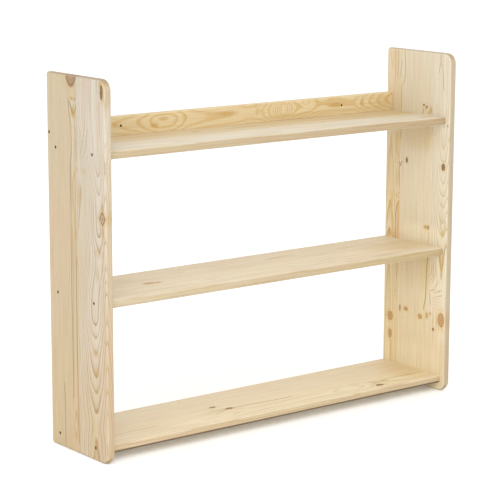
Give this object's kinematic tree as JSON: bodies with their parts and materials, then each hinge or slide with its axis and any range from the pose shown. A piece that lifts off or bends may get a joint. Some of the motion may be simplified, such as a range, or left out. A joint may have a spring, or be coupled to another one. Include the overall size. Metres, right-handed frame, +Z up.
{
  "type": "bookcase",
  "caption": "Low open bookcase of untreated pine: sides with rounded front corners, fixed shelves screwed on through the sides, and a rail along the back for wall screws.",
  "frame": {"origin": "on the floor, under the middle of the footprint", "axes": "+X to the right as seen from the front, +Y back towards the wall, +Z up"},
  "size_m": [1, 0.225, 0.825],
  "materials": {
    "pine_side": "raw planed and sanded pine, edge-glued staves, matte",
    "pine_shelf": "raw planed and sanded pine, edge-glued staves, matte",
    "pine_rail": "raw planed pine, one solid strip, matte",
    "zinc_screw": "zinc plated steel, dull"
  },
  "bodies": {
    "root": {"side_left": "pine_side", "side_right": "pine_side", "top_shelf": "pine_shelf", "middle_shelf": "pine_shelf", "bottom_shelf": "pine_shelf", "back_rail": "pine_rail", "top_shelf_screws_left": "zinc_screw", "top_shelf_screws_right": "zinc_screw", "middle_shelf_screws_left": "zinc_screw", "middle_shelf_screws_right": "zinc_screw", "bottom_shelf_screws_left": "zinc_screw", "bottom_shelf_screws_right": "zinc_screw", "back_rail_screws_left": "zinc_screw", "back_rail_screws_right": "zinc_screw"}
  },
  "joints": []
}
